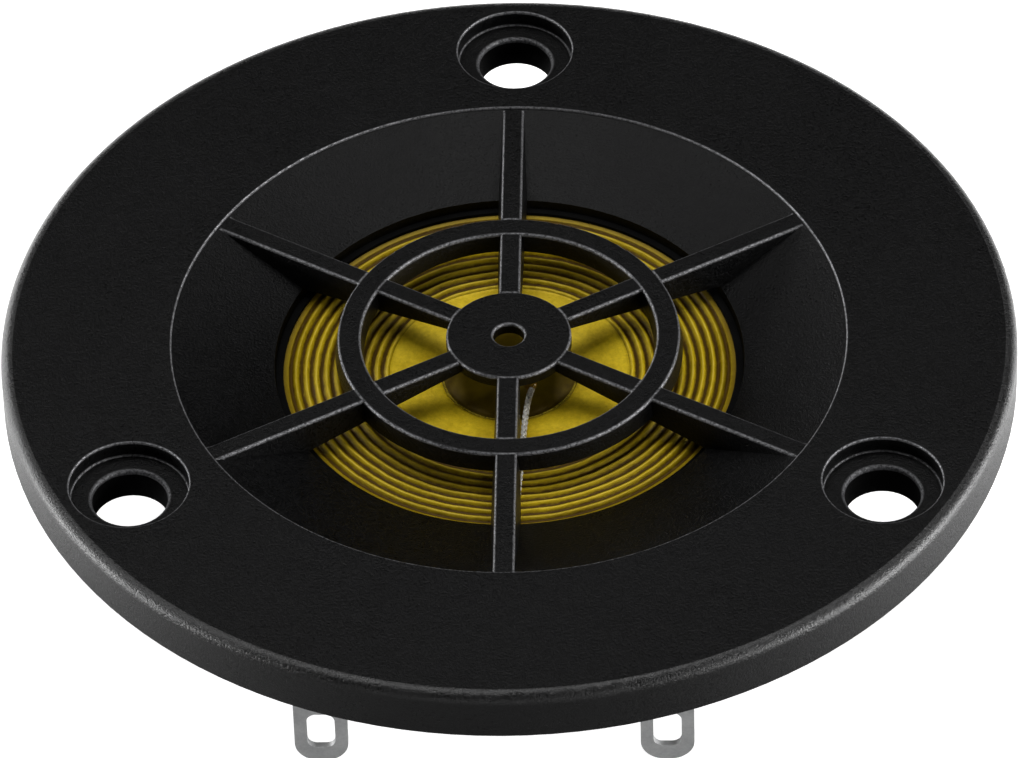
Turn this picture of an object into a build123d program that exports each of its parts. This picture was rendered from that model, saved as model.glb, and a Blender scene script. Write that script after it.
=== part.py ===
"""Flush-mount film tweeter, sizes in millimetres.

Origin on the axis at the flange's rear face, +Z out of the horn, terminals towards -Y.
"""
import os
from math import atan2, cos, degrees, hypot, pi, radians, sin, sqrt

from build123d import *

os.makedirs("parts", exist_ok=True)

# flange and mounting holes
flange_dia = 72.0
flange_thickness = 3.7
flange_edge_radius = 0.8
flange_rim_wall = 1.8
flange_front_wall = 1.7
hole_edge_distance = 5.75
hole_angles = (90, 210, 330)
hole_dia = 5.3
counterbore_dia = 8.4
counterbore_depth = 1.3
counterbore_land = 2.15
hole_boss_wall = 1.5
bore_edge_radius = 0.3
counterbore_corner_radius = 0.15
counterbore_edge_radius = 0.12
pocket_gap = 1.1
rib_count = 24
rib_thickness = 1.0
# horn
mouth_step = 0.2
mouth_edge = 0.08
throat_dia = 33.4
throat_depth = 2.6
throat_draft = 0.1
seat_depth = 3.25
# grille
ring_dia = 24.3
ring_width = 1.67
ring_depth = 1.5
hub_dia = 8.9
hub_depth = 0.9
hub_hole_dia = 2.2
spoke_count = 6
spoke_width = 1.5
spoke_depth_at_throat = 2.4
grille_edge_radius = 0.22
grille_draft = 7.0
# diaphragm
gasket_overhang = 0.6
gasket_thickness = 0.25
film_thickness = 0.08
clamp_width = 3.0
seat_clearance = 0.2
film_ring_thickness = 1.92
film_ring_chamfer = 0.2
first_groove_inset = 0.37
corrugation_count = 10
corrugation_pitch = 0.72
corrugation_height = 0.11
corrugation_drop = 0.2
cone_drop = 0.3
cone_bulge = 0.05
# voice coil and dome
coil_dia = 9.6
former_wall = 0.1
former_length = 4.9
winding_thickness = 0.3
winding_height = 2.4
gap_clearance = 0.3
winding_edge_radius = 0.08
dome_overhang = 0.06
film_to_dome_gap = 0.04
dome_thickness = 0.1
dome_rise = 0.4
dome_crown = 0.22
dome_rim = 0.35
crown_dia = 5.4
dome_wall_bulge = 0.62
wire_dia = 0.16
wire_gap = 0.03
wire_end_gap = 0.2
wire_rise = 0.3
wire_bend_radius = 0.35
wire_points = ((1.5, -1.75), (-0.35, -2.3))
glue_dia = 0.9
glue_height = 0.45
glue_sink = 0.05
glue_edge_radius = 0.25
# motor
top_plate_thickness = 4.0
top_plate_lip = 1.0
magnet_dia = 36.0
magnet_bore = 18.0
magnet_thickness = 9.0
magnet_chamfer = 0.5
adhesive_thickness = 0.1
adhesive_inset = 0.4
rear_adhesive_inset = 0.9
rear_plate_inset = 0.5
rear_plate_thickness = 4.0
plate_chamfer = 0.6
pole_stub_dia = 6.0
pole_chamfer = 0.3
pad_thickness = 0.8
pad_inset = 0.6
ear_width = 8.0
ear_trim = 1.6
ear_corner_radius = 1.5
# motor screws
motor_screw_angles = (30, 150, 270)
screw_dia = 2.8
screw_length = 7.0
screw_head_dia = 5.2
screw_head_height = 1.8
screw_head_radius = 0.7
screw_recess_length = 3.1
screw_recess_width = 0.6
screw_recess_depth = 0.9
screw_clearance = 0.2
pilot_clearance = 0.02
pilot_wall = 0.88
pilot_end_gap = 0.3
head_gap = 1.6
# terminals
terminal_pitch = 24.5
terminal_offset = -1.17
tag_width = 3.8
tag_thickness = 0.5
tag_drop = 11.8
tag_end_radius = 1.7
tag_bend_radius = 0.3
foot_reach = 2.1
foot_corner_radius = 1.0
eyelet_width = 2.0
eyelet_height = 3.3
eyelet_corner = 0.7
eyelet_web = 1.33
board_thickness = 1.2
board_end = 3.2
board_back = 3.75
board_inset = 0.7
board_clearance = 0.6
rivet_hole_dia = 1.5
rivet_head_dia = 3.0
rivet_head_height = 0.4
rivet_wall = 0.25
rivet_keepout = 0.55
rivet_edge_radius = 0.25
solder_dia = 2.2
solder_height = 0.7
solder_edge_radius = 0.5
# leads and their channel
lead_dia = 0.4
groove_height = 0.5
groove_throat_width = 2.6
groove_outer_width = 9.0
groove_start = 1.0
groove_neck = 0.4
groove_end = 0.9
channel_wall = 0.5
channel_plate_gap = 0.4
channel_width = 2.0
channel_depth = 1.2
channel_spread = 42
screw_post_dia = 4.4
drop_hole_width = 1.9
drop_hole_length = 1.2
drop_depth = 0.8
drop_height = 1.0
channel_lead_offset = 0.19
lead_tail = (0.1, 0.52)
lead_start_height = 0.6
lead_solder_depth = 0.5

# radii and heights that follow from the sizes above
flange_r = flange_dia / 2
top = flange_thickness
screw_circle_r = flange_r - hole_edge_distance
mouth_r = screw_circle_r - counterbore_dia / 2 - counterbore_land
throat_r = throat_dia / 2
grille_top = top - mouth_step
throat_z = top - throat_depth
seat_z = top - seat_depth
film_z = seat_z - gasket_thickness
film_ring_r = throat_r + clamp_width
seat_r = film_ring_r + seat_clearance
film_open_r = throat_r - gasket_overhang
plate_z = film_z - film_thickness - film_ring_thickness
plate_rear_z = plate_z - top_plate_thickness
magnet_z = plate_rear_z - adhesive_thickness
magnet_rear_z = magnet_z - magnet_thickness
rear_plate_z = magnet_rear_z - adhesive_thickness
rear_z = rear_plate_z - rear_plate_thickness
magnet_r = magnet_dia / 2
top_plate_r = magnet_r + top_plate_lip
pilot_r = screw_dia / 2 + pilot_clearance
motor_screw_r = max(magnet_r + head_gap + screw_head_dia / 2, seat_r + pilot_wall + pilot_r)
ear_r = motor_screw_r + ear_width / 2 - ear_trim
terminal_xs = (terminal_offset - terminal_pitch / 2, terminal_offset + terminal_pitch / 2)
rivet_circle_r = top_plate_r + rivet_keepout + rivet_head_dia / 2
rivet_y = -sqrt(rivet_circle_r**2 - min(abs(x) for x in terminal_xs) ** 2)
tag_y = rivet_y - foot_reach
tag_corner_r = hypot(max(abs(x) for x in terminal_xs) + tag_width / 2, tag_y - tag_thickness / 2)
spigot_clearance = 0.3
spigot_r = max(tag_corner_r + spigot_clearance, ear_r + spigot_clearance)
board_z = plate_rear_z - board_thickness
board_r = spigot_r - board_inset
coil_r = coil_dia / 2
pole_r = coil_r - former_wall - gap_clearance
plate_bore_r = coil_r + winding_thickness + gap_clearance
dome_r = coil_r + dome_overhang
film_inner_r = dome_r + film_to_dome_gap
corrugation_r = film_open_r - first_groove_inset
cone_r = corrugation_r - corrugation_count * corrugation_pitch
cone_z = film_z - corrugation_drop
rim_z = cone_z - cone_drop
crown_r = crown_dia / 2
channel_r = max(seat_r + channel_wall, top_plate_r + channel_plate_gap)


def polar(radius, angle):
    return radius * cos(radians(angle)), radius * sin(radians(angle))


def save(builder, name):
    builder.part.label = name
    export_step(builder.part, f"parts/{name}.step")


def circle_edges(builder, radius, *heights):
    """The part's circular edges of one radius, at the given heights or at any."""
    found = []
    for edge in builder.edges().filter_by(GeomType.CIRCLE):
        at_height = not heights or min(abs(edge.center().Z - z) for z in heights) < 0.01
        if at_height and abs(edge.radius - radius) < 0.01:
            found.append(edge)
    return found


def flat_ring(outer, inner, z):
    """Flat ring at height z, ready to extrude."""
    with BuildSketch(Plane.XY.offset(z)) as outline:
        Circle(outer)
        Circle(inner, mode=Mode.SUBTRACT)
    return outline.sketch


# ---- front plate: flange, horn and grille in one moulding ----
draft_slope = sin(radians(grille_draft))
ring_r = ring_dia / 2
ring_inner_r = ring_r - ring_width
hub_r = hub_dia / 2
hub_low = grille_top - hub_depth
spoke_low = grille_top - spoke_depth_at_throat
er = grille_edge_radius

with BuildPart() as front_plate:
    # spokes: bars with drafted sides and rounded top edges
    for i in range(spoke_count):
        angle = 90 + i * 360 / spoke_count
        bar_plane = Plane(origin=(*polar(hub_r * 0.5, angle), grille_top),
                          x_dir=(-sin(radians(angle)), cos(radians(angle)), 0),
                          z_dir=(cos(radians(angle)), sin(radians(angle)), 0))
        with BuildSketch(bar_plane):
            half = spoke_width / 2
            foot = half + spoke_depth_at_throat * draft_slope
            with BuildLine():
                Polyline((-half, -er), (-foot, -spoke_depth_at_throat),
                         (foot, -spoke_depth_at_throat), (half, -er))
                RadiusArc((half, -er), (half - er, 0), -er)
                Line((half - er, 0), (-half + er, 0))
                RadiusArc((-half + er, 0), (-half, -er), -er)
            make_face()
        extrude(amount=mouth_r - hub_r * 0.5)
    # the underside rises towards the hub
    with BuildSketch(Plane.XZ):
        with BuildLine():
            Polyline((0, rear_z), (throat_r, rear_z), (throat_r, spoke_low), (hub_r, hub_low),
                     (0, hub_low), close=True)
        make_face()
    revolve(axis=Axis.Z, mode=Mode.SUBTRACT)
    # ring
    with BuildSketch(Plane.XZ):
        with BuildLine():
            slope = ring_depth * draft_slope
            Polyline((ring_inner_r, grille_top - er), (ring_inner_r - slope, grille_top - ring_depth),
                     (ring_r + slope, grille_top - ring_depth), (ring_r, grille_top - er))
            RadiusArc((ring_r, grille_top - er), (ring_r - er, grille_top), -er)
            Line((ring_r - er, grille_top), (ring_inner_r + er, grille_top))
            RadiusArc((ring_inner_r + er, grille_top), (ring_inner_r, grille_top - er), -er)
        make_face()
    revolve(axis=Axis.Z)
    # hub with its rounded hole
    with BuildSketch(Plane.XZ):
        with BuildLine():
            Polyline((0, hub_low), (hub_r, hub_low), (hub_r, grille_top - er))
            RadiusArc((hub_r, grille_top - er), (hub_r - er, grille_top), -er)
            Polyline((hub_r - er, grille_top), (0, grille_top), (0, hub_low))
        make_face()
    revolve(axis=Axis.Z)
    with BuildSketch(Plane.XZ):
        with BuildLine():
            hole_r = hub_hole_dia / 2
            Polyline((hole_r + er, grille_top), (0, grille_top), (0, hub_low), (hole_r, hub_low),
                     (hole_r, grille_top - er))
            RadiusArc((hole_r, grille_top - er), (hole_r + er, grille_top), er)
        make_face()
    revolve(axis=Axis.Z, mode=Mode.SUBTRACT)
    # flange, horn cone, throat wall, seat and rear spigot
    with BuildSketch(Plane.XZ):
        with BuildLine():
            fr = flange_edge_radius
            Polyline((flange_r, top - fr), (flange_r, 0), (spigot_r, 0), (spigot_r, plate_z),
                     (seat_r, plate_z), (seat_r, seat_z), (throat_r - throat_draft, seat_z),
                     (throat_r, throat_z), (mouth_r, grille_top), (mouth_r, top - mouth_edge),
                     (mouth_r + mouth_edge, top), (flange_r - fr, top))
            RadiusArc((flange_r - fr, top), (flange_r, top - fr), fr)
        make_face()
    revolve(axis=Axis.Z)
    # mounting holes, counterbored from the front
    with BuildSketch(Plane.XY.offset(top)):
        with PolarLocations(screw_circle_r, len(hole_angles), start_angle=hole_angles[0]):
            Circle(counterbore_dia / 2)
    extrude(amount=-counterbore_depth, mode=Mode.SUBTRACT)
    with BuildSketch(Plane.XY.offset(top)):
        with PolarLocations(screw_circle_r, len(hole_angles), start_angle=hole_angles[0]):
            Circle(hole_dia / 2)
    extrude(amount=-(top - plate_z), mode=Mode.SUBTRACT)
    floor_z = top - counterbore_depth
    fillet(circle_edges(front_plate, hole_dia / 2, floor_z), radius=bore_edge_radius)
    fillet(circle_edges(front_plate, counterbore_dia / 2, floor_z), radius=counterbore_corner_radius)
    fillet(circle_edges(front_plate, counterbore_dia / 2, top), radius=counterbore_edge_radius)
    # cored back of the flange: pockets between ribs, bosses and rim
    with BuildSketch(Plane.XY):
        Circle(flange_r - flange_rim_wall)
        Circle(spigot_r + pocket_gap, mode=Mode.SUBTRACT)
        with PolarLocations(screw_circle_r, len(hole_angles), start_angle=hole_angles[0]):
            Circle(hole_dia / 2 + hole_boss_wall, mode=Mode.SUBTRACT)
        with PolarLocations(flange_r / 2, rib_count, start_angle=180 / rib_count):
            Rectangle(flange_r, rib_thickness, mode=Mode.SUBTRACT)
    extrude(amount=top - flange_front_wall, mode=Mode.SUBTRACT)
    # groove that lets the leads out under the front spoke
    with BuildSketch(Plane.XY.offset(seat_z)):
        with BuildLine():
            near = groove_start - throat_r
            neck = -throat_r - groove_neck
            far = -channel_r - groove_end
            Polyline((-groove_throat_width / 2, near), (groove_throat_width / 2, near),
                     (groove_throat_width / 2, neck), (groove_outer_width / 2, -channel_r),
                     (groove_outer_width / 2, far), (-groove_outer_width / 2, far),
                     (-groove_outer_width / 2, -channel_r), (-groove_throat_width / 2, neck), close=True)
        make_face()
    extrude(amount=groove_height, mode=Mode.SUBTRACT)
    # channel in the spigot's face, each side of the screw post
    with BuildSketch(Plane.XY.offset(plate_z)) as channel_outline:
        Circle(channel_r + channel_width)
        Circle(channel_r, mode=Mode.SUBTRACT)
        reach = 2 * seat_r
        with BuildLine():
            Polyline((0, 0), polar(reach, 270 - channel_spread), (0, -2 * reach),
                     polar(reach, 270 + channel_spread), close=True)
        make_face(mode=Mode.INTERSECT)
        with Locations(polar(motor_screw_r, 270)):
            Circle(screw_post_dia / 2, mode=Mode.SUBTRACT)
    extrude(amount=channel_depth, mode=Mode.SUBTRACT)
    # the leads drop from the groove into the channel here
    with BuildSketch(Plane.XY.offset(plate_z)):
        for side in (-1, 1):
            with Locations((side * (screw_post_dia / 2 + drop_hole_width / 2),
                            -channel_r - drop_hole_length / 2)):
                Rectangle(drop_hole_width, drop_hole_length)
    extrude(amount=seat_z + groove_height - plate_z, mode=Mode.SUBTRACT)
    # pilot holes for the motor screws
    with BuildSketch(Plane.XY.offset(plate_z)):
        with PolarLocations(motor_screw_r, len(motor_screw_angles), start_angle=motor_screw_angles[0]):
            Circle(pilot_r)
    extrude(amount=screw_length - top_plate_thickness + pilot_end_gap, mode=Mode.SUBTRACT)
save(front_plate, "front_plate")

# ---- gasket, film and film ring, clamped between the seat and the top plate ----
with BuildPart() as film_gasket:
    extrude(flat_ring(film_ring_r, film_open_r, film_z), amount=seat_z - film_z)
save(film_gasket, "film_gasket")


def corrugated_line(drop):
    """Half the film's section from the clamped edge to the cone, lowered by drop."""
    Line((film_ring_r, film_z - drop), (corrugation_r, film_z - drop))
    half_pitch = corrugation_pitch / 2
    fall = corrugation_drop / (2 * corrugation_count)
    for k in range(2 * corrugation_count):
        r0 = corrugation_r - k * half_pitch
        z0 = film_z - k * fall - drop
        side = -1 if k % 2 == 0 else 1
        ThreePointArc((r0, z0), (r0 - half_pitch / 2, z0 - fall / 2 + side * corrugation_height),
                      (r0 - half_pitch, z0 - fall))
    middle = ((cone_r + film_inner_r) / 2, (cone_z + rim_z) / 2 + cone_bulge - drop)
    ThreePointArc((cone_r, cone_z - drop), middle, (film_inner_r, rim_z - drop))


with BuildPart() as diaphragm_film:
    with BuildSketch(Plane.XZ):
        with BuildLine():
            corrugated_line(0)
            Line((film_inner_r, rim_z), (film_inner_r, rim_z - film_thickness))
            corrugated_line(film_thickness)
            Line((film_ring_r, film_z - film_thickness), (film_ring_r, film_z))
        make_face()
    revolve(axis=Axis.Z)
save(diaphragm_film, "diaphragm_film")

with BuildPart() as film_ring:
    extrude(flat_ring(film_ring_r, film_open_r, plate_z), amount=film_z - film_thickness - plate_z)
    chamfer(film_ring.edges().filter_by(GeomType.CIRCLE).group_by(Axis.Z)[0], length=film_ring_chamfer)
save(film_ring, "film_ring")

# ---- moving system: dome, coil former, winding, wires and glue ----


def dome_line(drop):
    """Half the dome's section: flat rim, rising wall and a raised crown, lowered by drop."""
    wall_top = (crown_r, rim_z + dome_rise - drop)
    Line((dome_r, rim_z - drop), (dome_r - dome_rim, rim_z - drop))
    ThreePointArc((dome_r - dome_rim, rim_z - drop),
                  ((dome_r - dome_rim + crown_r) / 2, rim_z + dome_rise * dome_wall_bulge - drop), wall_top)
    cap_top = rim_z + dome_rise + dome_crown - drop
    cap_radius = (crown_r**2 + dome_crown**2) / (2 * dome_crown)
    cap_middle = (crown_r / 2, cap_top - cap_radius + sqrt(cap_radius**2 - crown_r**2 / 4))
    ThreePointArc(wall_top, cap_middle, (0, cap_top))


with BuildPart() as centre_dome:
    with BuildSketch(Plane.XZ):
        with BuildLine():
            crown_z = rim_z + dome_rise + dome_crown
            dome_line(0)
            Line((0, crown_z), (0, crown_z - dome_thickness))
            dome_line(dome_thickness)
            Line((dome_r, rim_z - dome_thickness), (dome_r, rim_z))
        make_face()
    revolve(axis=Axis.Z)
save(centre_dome, "centre_dome")

former_top = rim_z - dome_thickness
with BuildPart() as voice_coil_former:
    extrude(flat_ring(coil_r, coil_r - former_wall, former_top), amount=-former_length)
save(voice_coil_former, "voice_coil_former")

winding_z = plate_z - top_plate_thickness / 2 - winding_height / 2
with BuildPart() as voice_coil_winding:
    extrude(flat_ring(coil_r + winding_thickness, coil_r, winding_z), amount=winding_height)
    fillet(circle_edges(voice_coil_winding, coil_r + winding_thickness), radius=winding_edge_radius)
save(voice_coil_winding, "voice_coil_winding")

wire_r = coil_r - former_wall - wire_dia / 2 - wire_gap
wire_top = former_top - wire_end_gap
with BuildPart() as coil_leadouts:
    for end_x, end_y in wire_points:
        reach = hypot(end_x, end_y)
        ux, uy = end_x / reach, end_y / reach
        with BuildLine():
            path = FilletPolyline((ux * wire_r, uy * wire_r, winding_z + winding_height - wire_end_gap),
                                  (ux * wire_r, uy * wire_r, wire_top),
                                  (end_x, end_y, wire_top + wire_rise), radius=wire_bend_radius)
        with BuildSketch(Plane(origin=path @ 0, z_dir=path % 0)):
            Circle(wire_dia / 2)
        sweep(path=path)
save(coil_leadouts, "coil_leadouts")

glue_z = rim_z + dome_rise - glue_sink
with BuildPart() as lead_glue:
    with BuildSketch(Plane.XY.offset(glue_z)):
        with Locations(*wire_points):
            Circle(glue_dia / 2)
    extrude(amount=glue_height)
    fillet(lead_glue.faces().filter_by(Axis.Z).group_by(Axis.Z)[-1].edges(), radius=glue_edge_radius)
save(lead_glue, "lead_glue")

# ---- motor: plates, magnet, pole and damping pad ----
with BuildPart() as top_plate:
    with BuildSketch(Plane.XY.offset(plate_rear_z)):
        Circle(top_plate_r)
        for angle in motor_screw_angles:
            with Locations(Location((*polar(ear_r / 2, angle), 0), (0, 0, angle))):
                Rectangle(ear_r, ear_width)
        Circle(plate_bore_r, mode=Mode.SUBTRACT)
        with PolarLocations(motor_screw_r, len(motor_screw_angles), start_angle=motor_screw_angles[0]):
            Circle(screw_dia / 2 + screw_clearance, mode=Mode.SUBTRACT)
    extrude(amount=top_plate_thickness)
    corners = top_plate.edges().filter_by(Axis.Z).filter_by(
        lambda e: hypot(e.center().X, e.center().Y) > ear_r - 0.01)
    fillet(corners, radius=ear_corner_radius)
save(top_plate, "top_plate")

with BuildPart() as magnet_adhesive:
    adhesive_bore = magnet_bore / 2 + adhesive_inset
    extrude(flat_ring(magnet_r - adhesive_inset, adhesive_bore, magnet_z), amount=adhesive_thickness)
    rear_bond = flat_ring(magnet_r - rear_adhesive_inset, adhesive_bore, rear_plate_z)
    extrude(rear_bond, amount=adhesive_thickness)
save(magnet_adhesive, "magnet_adhesive")

with BuildPart() as ring_magnet:
    extrude(flat_ring(magnet_r, magnet_bore / 2, magnet_rear_z), amount=magnet_z - magnet_rear_z)
    chamfer(ring_magnet.edges().filter_by(GeomType.CIRCLE), length=magnet_chamfer)
save(ring_magnet, "ring_magnet")

with BuildPart() as rear_plate:
    extrude(flat_ring(magnet_r - rear_plate_inset, pole_stub_dia / 2, rear_z), amount=rear_plate_z - rear_z)
    chamfer(circle_edges(rear_plate, magnet_r - rear_plate_inset, rear_z), length=plate_chamfer)
save(rear_plate, "rear_plate")

with BuildPart() as pole_piece:
    with BuildSketch(Plane.XY.offset(rear_plate_z)):
        Circle(pole_r)
    extrude(amount=plate_z - rear_plate_z)
    with BuildSketch(Plane.XY.offset(rear_z)):
        Circle(pole_stub_dia / 2)
    extrude(amount=rear_plate_thickness)
    chamfer(pole_piece.edges().filter_by(GeomType.CIRCLE).sort_by(Axis.Z)[-1], length=pole_chamfer)
save(pole_piece, "pole_piece")

with BuildPart() as damping_pad:
    with BuildSketch(Plane.XY.offset(plate_z)):
        Circle(pole_r - pad_inset)
    extrude(amount=pad_thickness)
save(damping_pad, "damping_pad")

# ---- motor screws: the one at the terminals also holds the board ----
with BuildPart() as motor_screws:
    for angle in motor_screw_angles:
        seat = plate_rear_z - (board_thickness if angle == 270 else 0)
        place = polar(motor_screw_r, angle)
        with BuildSketch(Plane.XY.offset(seat)):
            with Locations(place):
                Circle(screw_dia / 2)
        extrude(amount=screw_length)
        with BuildSketch(Plane.XY.offset(seat)):
            with Locations(place):
                Circle(screw_head_dia / 2)
        extrude(amount=-screw_head_height)
        with BuildSketch(Plane.XY.offset(seat - screw_head_height)):
            with Locations(place):
                Rectangle(screw_recess_length, screw_recess_width)
                Rectangle(screw_recess_width, screw_recess_length)
        extrude(amount=screw_recess_depth, mode=Mode.SUBTRACT)
    head_ends = (plate_rear_z - screw_head_height, board_z - screw_head_height)
    fillet(circle_edges(motor_screws, screw_head_dia / 2, *head_ends), radius=screw_head_radius)
save(motor_screws, "motor_screws")

# ---- terminal board, tags and rivets ----
with BuildPart() as terminal_board:
    with BuildSketch(Plane.XY.offset(board_z)):
        Circle(board_r)
        back_y = rivet_y + board_back
        with Locations((terminal_offset, (back_y - flange_r) / 2)):
            Rectangle(terminal_pitch + 2 * board_end, flange_r + back_y, mode=Mode.INTERSECT)
        Circle(magnet_r + board_clearance, mode=Mode.SUBTRACT)
        with Locations(*[(x, rivet_y) for x in terminal_xs]):
            Circle(rivet_hole_dia / 2, mode=Mode.SUBTRACT)
        with Locations(polar(motor_screw_r, 270)):
            Circle(screw_dia / 2 + screw_clearance, mode=Mode.SUBTRACT)
    extrude(amount=board_thickness)
save(terminal_board, "terminal_board")


def terminal_tag(x):
    """Solder tag: a foot riveted to the board and a blade bent down to a rounded, pierced end."""
    foot_low = board_z - tag_thickness
    blade_front = tag_y - tag_thickness / 2
    foot_back = rivet_y + rivet_head_dia / 2
    tip_z = board_z - tag_drop
    bend = tag_bend_radius
    with BuildPart() as tag:
        with BuildSketch(Plane.YZ.offset(x - tag_width / 2)):
            with BuildLine():
                Polyline((blade_front, board_z - bend - tag_thickness), (blade_front, tip_z),
                         (blade_front + tag_thickness, tip_z),
                         (blade_front + tag_thickness, foot_low - bend))
                RadiusArc((blade_front + tag_thickness, foot_low - bend),
                          (blade_front + tag_thickness + bend, foot_low), bend)
                Polyline((blade_front + tag_thickness + bend, foot_low), (foot_back, foot_low),
                         (foot_back, board_z), (blade_front + bend + tag_thickness, board_z))
                RadiusArc((blade_front + bend + tag_thickness, board_z),
                          (blade_front, board_z - bend - tag_thickness), -(bend + tag_thickness))
            make_face()
        extrude(amount=tag_width)
        blade_edges = tag.edges().filter_by(Axis.Y).filter_by(lambda e: e.center().Z < tip_z + 0.01)
        fillet(blade_edges, radius=tag_end_radius)
        foot_edges = tag.edges().filter_by(Axis.Z).filter_by(lambda e: e.center().Y > foot_back - 0.01)
        fillet(foot_edges, radius=foot_corner_radius)
        with BuildSketch(Plane.XZ.offset(-blade_front)):
            with Locations((x, tip_z + eyelet_web + eyelet_height / 2)):
                RectangleRounded(eyelet_width, eyelet_height, eyelet_corner)
        extrude(amount=-tag_thickness * 2, mode=Mode.SUBTRACT)
        with BuildSketch(Plane.XY.offset(foot_low)):
            with Locations((x, rivet_y)):
                Circle(rivet_hole_dia / 2)
        extrude(amount=tag_thickness, mode=Mode.SUBTRACT)
    return tag


for tag_name, tag_x in zip(("terminal_left", "terminal_right"), terminal_xs):
    save(terminal_tag(tag_x), tag_name)

with BuildPart() as terminal_rivets:
    for x in terminal_xs:
        shank_low = board_z - tag_thickness
        with BuildSketch(Plane.XY.offset(shank_low)):
            with Locations((x, rivet_y)):
                Circle(rivet_hole_dia / 2)
        extrude(amount=board_thickness + tag_thickness)
        for head_z in (shank_low - rivet_head_height, plate_rear_z):
            with BuildSketch(Plane.XY.offset(head_z)):
                with Locations((x, rivet_y)):
                    Circle(rivet_head_dia / 2)
            extrude(amount=rivet_head_height)
        with BuildSketch(Plane.XY.offset(shank_low - rivet_head_height)):
            with Locations((x, rivet_y)):
                Circle(rivet_hole_dia / 2 - rivet_wall)
        extrude(amount=board_thickness + tag_thickness + 2 * rivet_head_height, mode=Mode.SUBTRACT)
    head_ends = (shank_low - rivet_head_height, plate_rear_z + rivet_head_height)
    fillet(circle_edges(terminal_rivets, rivet_head_dia / 2, *head_ends), radius=rivet_edge_radius)
save(terminal_rivets, "terminal_rivets")

solder_z = plate_rear_z + rivet_head_height
with BuildPart() as solder_joints:
    for x in terminal_xs:
        with BuildSketch(Plane.XY.offset(solder_z)):
            with Locations((x, rivet_y)):
                Circle(solder_dia / 2)
        extrude(amount=solder_height)
    fillet(solder_joints.faces().filter_by(Axis.Z).group_by(Axis.Z)[-1].edges(), radius=solder_edge_radius)
save(solder_joints, "solder_joints")

# ---- tinsel leads: over the film under the front spoke, through the channel, down to the tags ----
# over the film: sideways place, share of the throat radius, height above the clamped film
film_runs = {
    "tinsel_lead_right": [(1.42, 0.21, 0.58), (1.2, 0.323, 0.52), (1.02, 0.503, 0.32), (0.86, 0.695, 0.36),
                          (0.66, 0.874, 0.46)],
    "tinsel_lead_left": [(-0.3, 0.24, 0.52), (-0.22, 0.347, 0.5), (-0.2, 0.515, 0.32), (-0.3, 0.695, 0.36),
                         (-0.42, 0.874, 0.46)],
}
# through the seat: share of the post radius, distance past the radius named, height above the clamped film
throat_run = (0.39, 0.7, 0.5)
seat_run = (0.86, -0.5, 0.49)
drop_run = (1.27, 0.45, 0.49)
# along the channel: share of the angle to the tag, share of the way out to it, height above the top plate
channel_runs = ((0.44, 0.0, 0.55), (0.67, 0.2, 0.5), (0.868, 0.28, -0.1), (0.978, 0.85, -1.35))


def lead_route(name, start, end_x):
    """Points of a lead from its glue spot to the solder joint at end_x."""
    side = 1 if end_x > 0 else -1
    post_r = screw_post_dia / 2
    points = [(start[0] + lead_tail[0], start[1] - lead_tail[1], rim_z + lead_start_height)]
    points += [(x, -share * throat_r, film_z + up) for x, share, up in film_runs[name]]
    for (share, past, up), from_r in ((throat_run, throat_r), (seat_run, seat_r), (drop_run, channel_r)):
        points.append((side * share * post_r, -from_r - past, film_z + up))
    points.append((side * (post_r + drop_hole_width * 0.6), -channel_r - drop_depth, plate_z + drop_height))
    inner_r = channel_r + channel_width / 2 + channel_lead_offset
    end_r = hypot(end_x, rivet_y)
    end_angle = degrees(atan2(end_x, -rivet_y))
    for turn, out, up in channel_runs:
        radius = inner_r + out * (end_r - inner_r)
        points.append((*polar(radius, 270 + turn * end_angle), plate_z + up))
    points.append((end_x, rivet_y, solder_z + lead_solder_depth))
    return points


def run_radii(points):
    """Radius at each inner point: 0.45 of the shorter run over the tangent of half the turn."""
    radii = []
    for before, here, after in zip(points, points[1:], points[2:]):
        a, b = Vector(*here) - Vector(*before), Vector(*after) - Vector(*here)
        half_turn = radians(a.get_angle(b)) / 2
        radii.append(0.45 * min(a.length, b.length) / (sin(half_turn) / cos(half_turn)))
    return radii


lead_ends = zip(film_runs, wire_points, reversed(terminal_xs))
for lead_name, start, end_x in lead_ends:
    points = lead_route(lead_name, start, end_x)
    radii = run_radii(points)
    with BuildPart() as lead:
        with BuildLine():
            route = FilletPolyline(*points, radius=radii)
        with BuildSketch(Plane(origin=route @ 0, z_dir=route % 0)):
            Circle(lead_dia / 2)
        sweep(path=route)
    tube = pi * lead_dia**2 / 4 * route.length
    print(lead_name, "radii", [round(r, 1) for r in radii], "length", round(route.length, 1),
          "volume ratio", round(lead.part.volume / tube, 3))
    save(lead, lead_name)
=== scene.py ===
import math

import bmesh
import bpy
import numpy as np
from mathutils import Matrix, Vector


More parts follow.
